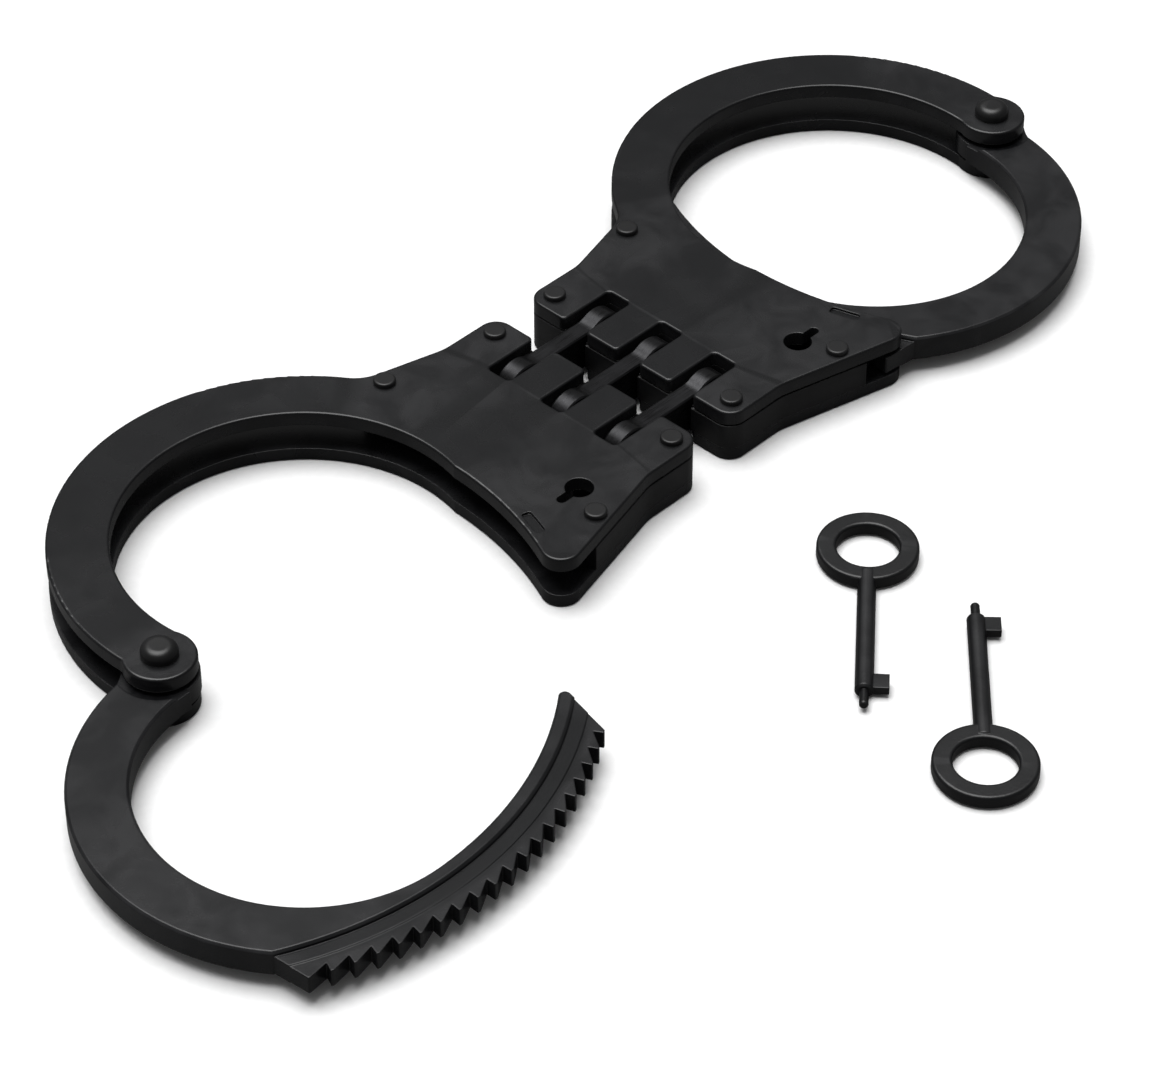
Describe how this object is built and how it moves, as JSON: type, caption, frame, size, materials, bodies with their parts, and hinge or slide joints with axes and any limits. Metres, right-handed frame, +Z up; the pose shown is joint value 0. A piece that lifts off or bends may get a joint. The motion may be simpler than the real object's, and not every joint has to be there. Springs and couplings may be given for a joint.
{
  "type": "handcuffs",
  "caption": "Black hinged handcuffs lying flat, with one arm swung open and the other closed, and their ring-ended keys beside them.",
  "frame": {"origin": "the middle of the hinge between the two cuffs, halfway through their thickness", "axes": "+X from the open left cuff to the closed right cuff, +Y away from the side on which the arms open, +Z up out of the keyhole faces"},
  "size_m": [0.2423, 0.1559, 0.0122],
  "materials": {
    "black_cheek": "satin black over steel",
    "black_arm": "satin black over steel",
    "black_frame": "satin black over steel",
    "black_rivet": "semi-gloss black",
    "black_key": "slightly grainy satin black",
    "dark_steel": "dark burnished",
    "bright_steel": "bare ground steel",
    "spring_steel": "blued spring steel"
  },
  "bodies": {
    "hinge_links": {"hinge_link_front": "dark_steel", "hinge_link_middle": "dark_steel", "hinge_link_back": "dark_steel"},
    "right_cuff": {"right_top_cheek": "black_cheek", "right_bottom_cheek": "black_cheek", "right_lock_frame": "black_frame", "right_hinge_pin": "dark_steel", "right_body_rivets": "black_rivet", "right_pivot_rivet": "black_rivet", "right_pawl_pin": "bright_steel", "right_pawl_spring": "spring_steel", "right_double_lock_spring": "spring_steel"},
    "left_cuff": {"left_top_cheek": "black_cheek", "left_bottom_cheek": "black_cheek", "left_lock_frame": "black_frame", "left_hinge_pin": "dark_steel", "left_body_rivets": "black_rivet", "left_pivot_rivet": "black_rivet", "left_pawl_pin": "bright_steel", "left_pawl_spring": "spring_steel", "left_double_lock_spring": "spring_steel"},
    "right_arm": {"right_swing_arm": "black_arm"},
    "left_arm": {"left_swing_arm": "black_arm"},
    "right_pawl": {"right_pawl": "bright_steel"},
    "left_pawl": {"left_pawl": "bright_steel"},
    "right_double_lock": {"right_double_lock_bar": "bright_steel"},
    "left_double_lock": {"left_double_lock_bar": "bright_steel"},
    "key_1": {"key_1": "black_key"},
    "key_2": {"key_2": "black_key"}
  },
  "joints": [
    {"name": "right_cuff_fold", "type": "hinge", "parent": "hinge_links", "child": "right_cuff", "pos_m": [0.0096, 0, 0], "axis": [0, 1, 0], "range_deg": [-90, 90]},
    {"name": "left_cuff_fold", "type": "hinge", "parent": "hinge_links", "child": "left_cuff", "pos_m": [-0.0096, 0, 0], "axis": [0, 1, 0], "range_deg": [-90, 90]},
    {"name": "right_arm_swing", "type": "hinge", "parent": "right_cuff", "child": "right_arm", "pos_m": [0.0995, 0.001, 0], "axis": [0, 0, 1], "continuous": true},
    {"name": "left_arm_swing", "type": "hinge", "parent": "left_cuff", "child": "left_arm", "pos_m": [-0.0995, 0.001, 0], "axis": [0, 0, 1], "continuous": true},
    {"name": "right_pawl_swing", "type": "hinge", "parent": "right_cuff", "child": "right_pawl", "pos_m": [0.0245, 0.0135, 0], "axis": [0, 0, 1], "range_deg": [0, 7]},
    {"name": "left_pawl_swing", "type": "hinge", "parent": "left_cuff", "child": "left_pawl", "pos_m": [-0.0245, 0.0135, 0], "axis": [0, 0, -1], "range_deg": [0, 7]},
    {"name": "right_double_lock_slide", "type": "slide", "parent": "right_cuff", "child": "right_double_lock", "axis": [0, 1, 0], "range_m": [0, 0.003]},
    {"name": "left_double_lock_slide", "type": "slide", "parent": "left_cuff", "child": "left_double_lock", "axis": [0, 1, 0], "range_m": [0, 0.003]},
    {"name": "key_1_lift", "type": "slide", "parent": "hinge_links", "child": "key_1", "axis": [0, 0, 1], "range_m": [0, 0.03]},
    {"name": "key_2_lift", "type": "slide", "parent": "hinge_links", "child": "key_2", "axis": [0, 0, 1], "range_m": [0, 0.03]}
  ]
}
